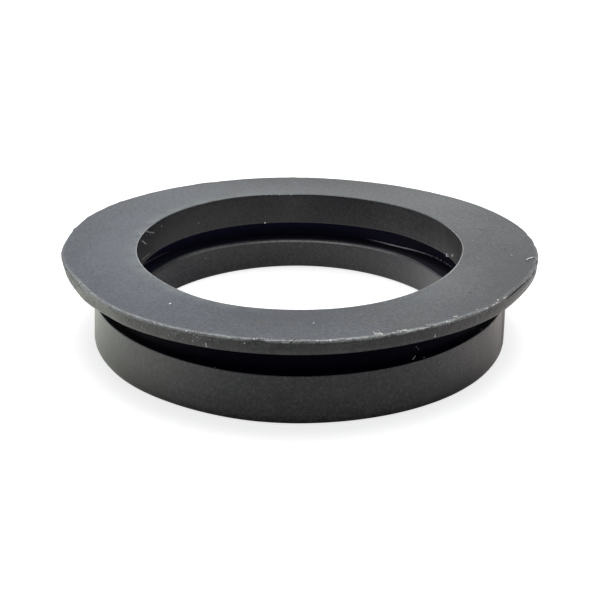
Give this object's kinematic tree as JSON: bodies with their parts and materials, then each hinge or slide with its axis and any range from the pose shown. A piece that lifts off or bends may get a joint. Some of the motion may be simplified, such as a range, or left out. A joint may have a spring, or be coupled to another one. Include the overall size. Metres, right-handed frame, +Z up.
{
  "type": "flush valve washer",
  "caption": "Moulded rubber ring with a wide flat sealing lip, a neck groove under the lip, a plain skirt and a retaining groove inside the bore.",
  "frame": {"origin": "centre of the flat base, on the ring's axis", "axes": "+Z up along the ring's axis, from the base to the sealing face; the ring is round, so X and Y are free"},
  "size_m": [0.065, 0.065, 0.0124],
  "materials": {
    "rubber": "matt moulded black rubber, greyed by a light bloom on the sealing face"
  },
  "bodies": {
    "root": {"washer": "rubber"}
  },
  "joints": []
}
